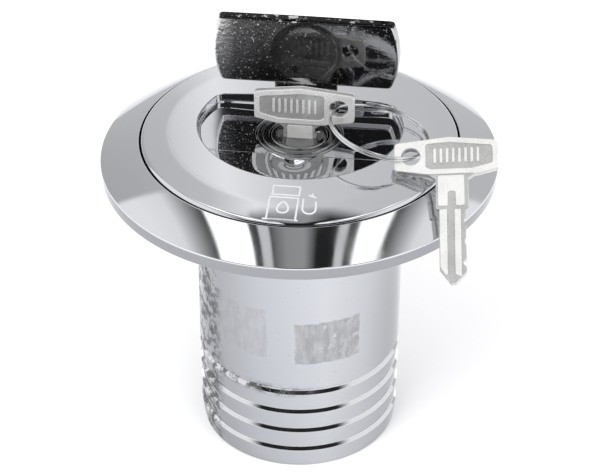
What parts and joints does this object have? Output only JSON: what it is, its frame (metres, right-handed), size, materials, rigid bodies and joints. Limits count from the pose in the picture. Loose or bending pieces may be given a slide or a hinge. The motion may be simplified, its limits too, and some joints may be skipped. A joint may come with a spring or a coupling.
{
  "type": "deck fill cap",
  "caption": "Round lockable deck fill cap with a flip-up pull plate, keyed latch bolts, a threaded plug and a barbed hose neck.",
  "frame": {"origin": "on the neck's axis, in the plane of the flange's underside, where it meets the deck", "axes": "+Z out of the deck along the neck's axis, -Y towards the finger scoop, the front"},
  "size_m": [0.0944, 0.0948, 0.1055],
  "materials": {
    "polished_steel": "mirror polished",
    "cast_steel": "polished cast",
    "turned_steel": "turned",
    "brass": "satin",
    "key_metal": "stamped nickel",
    "ring_wire": "bright wire",
    "seal_rubber": "matt"
  },
  "bodies": {
    "root": {"deck_body": "polished_steel"},
    "seal_carrier": {"cap_seal": "seal_rubber"},
    "cap": {"cap_shell": "polished_steel", "cap_plug": "turned_steel", "plug_screw_1": "turned_steel", "plug_screw_2": "turned_steel", "plug_screw_3": "turned_steel", "plug_screw_4": "turned_steel", "hinge_pin": "turned_steel", "lock_barrel": "turned_steel", "lock_nut": "brass", "latch_cover": "turned_steel", "cover_screw_1": "turned_steel", "cover_screw_2": "turned_steel"},
    "lock": {"lock_plug": "key_metal", "lock_wafer_1": "brass", "lock_wafer_2": "brass", "lock_wafer_3": "brass", "lock_wafer_4": "brass", "lock_wafer_5": "brass", "latch_cam": "turned_steel", "cam_washer": "turned_steel", "cam_screw": "turned_steel"},
    "bolt_right": {"latch_bolt_right": "turned_steel"},
    "bolt_left": {"latch_bolt_left": "turned_steel"},
    "plate": {"pull_plate": "cast_steel"},
    "key_in_lock": {"key_1": "key_metal"},
    "ring": {"key_ring": "ring_wire"},
    "spare_key": {"key_2": "key_metal"}
  },
  "joints": [
    {"name": "cap_lift", "type": "slide", "parent": "root", "child": "seal_carrier", "axis": [0, 0, 1], "range_m": [0, 0.006]},
    {"name": "cap_turn", "type": "hinge", "parent": "seal_carrier", "child": "cap", "pos_m": [0, 0, 0], "axis": [0, 0, 1], "range_deg": [0, 722]},
    {"name": "lock_turn", "type": "hinge", "parent": "cap", "child": "lock", "pos_m": [0, 0, 0], "axis": [0, 0, -1], "range_deg": [0, 90]},
    {"name": "bolt_right_slide", "type": "slide", "parent": "cap", "child": "bolt_right", "axis": [0.993, -0.1184, 0], "range_m": [0, 0.0026]},
    {"name": "bolt_left_slide", "type": "slide", "parent": "cap", "child": "bolt_left", "axis": [-0.993, 0.1184, 0], "range_m": [0, 0.0026]},
    {"name": "plate_hinge", "type": "hinge", "parent": "cap", "child": "plate", "pos_m": [0.00157, 0.01321, 0.0087], "axis": [0.993, -0.1184, 0], "range_deg": [-8, 20]},
    {"name": "key_withdraw", "type": "slide", "parent": "lock", "child": "key_in_lock", "axis": [0, 0, 1], "range_m": [0, 0.03]},
    {"name": "ring_swing", "type": "hinge", "parent": "key_in_lock", "child": "ring", "pos_m": [0.00923, -0.0011, 0.0161], "axis": [-0.1184, -0.993, 0], "range_deg": [0, 60]},
    {"name": "spare_key_swing", "type": "hinge", "parent": "ring", "child": "spare_key", "pos_m": [0.0254, -0.0178, 0.01275], "axis": [-0.7853, -0.5764, 0.2259], "range_deg": [0, 25]}
  ],
  "couplings": [
    {"joint": "cap_turn", "follows": "cap_lift", "rad_per_m": 2094.4},
    {"joint": "bolt_right_slide", "follows": "lock_turn", "m_per_rad": 0.0015915},
    {"joint": "bolt_left_slide", "follows": "lock_turn", "m_per_rad": 0.0015915}
  ]
}
